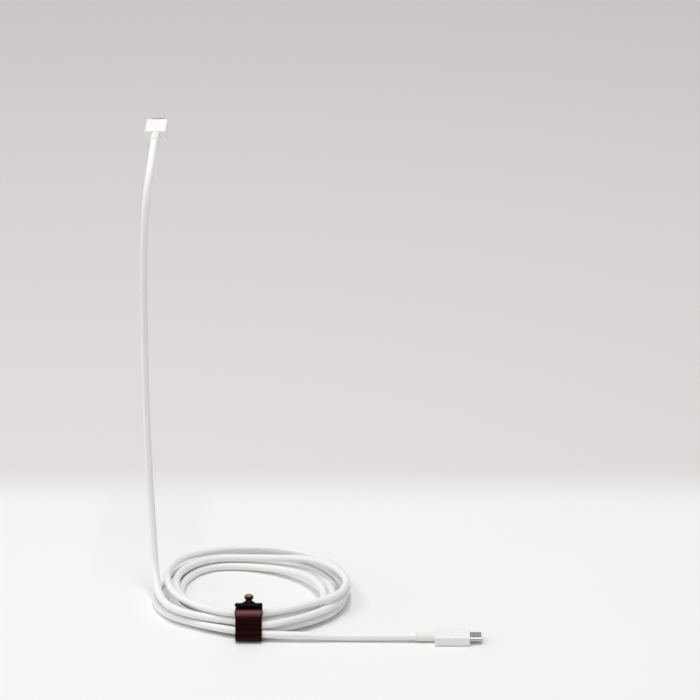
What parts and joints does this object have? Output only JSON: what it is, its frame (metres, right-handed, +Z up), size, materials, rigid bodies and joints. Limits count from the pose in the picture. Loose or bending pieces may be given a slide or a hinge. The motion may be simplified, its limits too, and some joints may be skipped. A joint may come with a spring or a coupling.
{
  "type": "charging cable",
  "caption": "White round charging cable with a small reversible plug at each end, hanging into a loose coil that a leather tie with a brass ball stud holds together.",
  "frame": {"origin": "middle of the charger plug's shoulder face, on the plug's axis", "axes": "+Y along the charger plug, out of its metal mouth; +X along the plug's width, to the right seen from the cord's side; +Z up"},
  "size_m": [0.1957, 0.1559, 0.264],
  "materials": {
    "overmould": "smooth moulded white, satin",
    "inner_mould": "moulded white",
    "relief": "soft moulded white",
    "jacket": "extruded white jacket, satin",
    "mouth": "drawn and plated, bright",
    "carrier": "moulded black",
    "contact": "gold plated",
    "spring": "sprung strip",
    "board": "green solder mask",
    "chip": "moulded black",
    "wire": "extruded insulation",
    "can": "tinned sheet",
    "crimp": "pressed ring",
    "strap": "smooth oxblood, cut edges",
    "stud": "antique, polished ball"
  },
  "bodies": {
    "cable": {"charger_plug_housing": "overmould", "charger_plug_inner_mould": "inner_mould", "charger_plug_strain_relief": "relief", "charger_plug_cord_end": "jacket", "charger_plug_crimp_ring": "crimp", "charger_plug_shield_can": "can", "charger_plug_board": "board", "charger_plug_resistors": "chip", "charger_plug_wires": "wire", "charger_plug_shell": "mouth", "charger_plug_contact_carrier": "carrier", "charger_plug_contacts": "contact", "charger_plug_latch_plate": "spring", "charger_plug_ground_springs": "spring", "charger_plug_marker_chip": "chip", "phone_plug_housing": "overmould", "phone_plug_inner_mould": "inner_mould", "phone_plug_strain_relief": "relief", "phone_plug_cord_end": "jacket", "phone_plug_crimp_ring": "crimp", "phone_plug_shield_can": "can", "phone_plug_board": "board", "phone_plug_resistors": "chip", "phone_plug_wires": "wire", "phone_plug_shell": "mouth", "phone_plug_contact_carrier": "carrier", "phone_plug_contacts": "contact", "phone_plug_latch_plate": "spring", "phone_plug_ground_springs": "spring", "cord_drop": "jacket", "cord_coil": "jacket", "cord_tail": "jacket", "tie_band": "strap", "tie_stud": "stud", "tie_stud_screw": "stud"},
    "tie_flap": {"tie_tail": "strap"}
  },
  "joints": [
    {"name": "tie_flap_swing", "type": "hinge", "parent": "cable", "child": "tie_flap", "pos_m": [0.0536, -0.12597, -0.24852], "axis": [-1, 0, 0], "range_deg": [0, 100], "deforming": ["tie_tail"]}
  ]
}
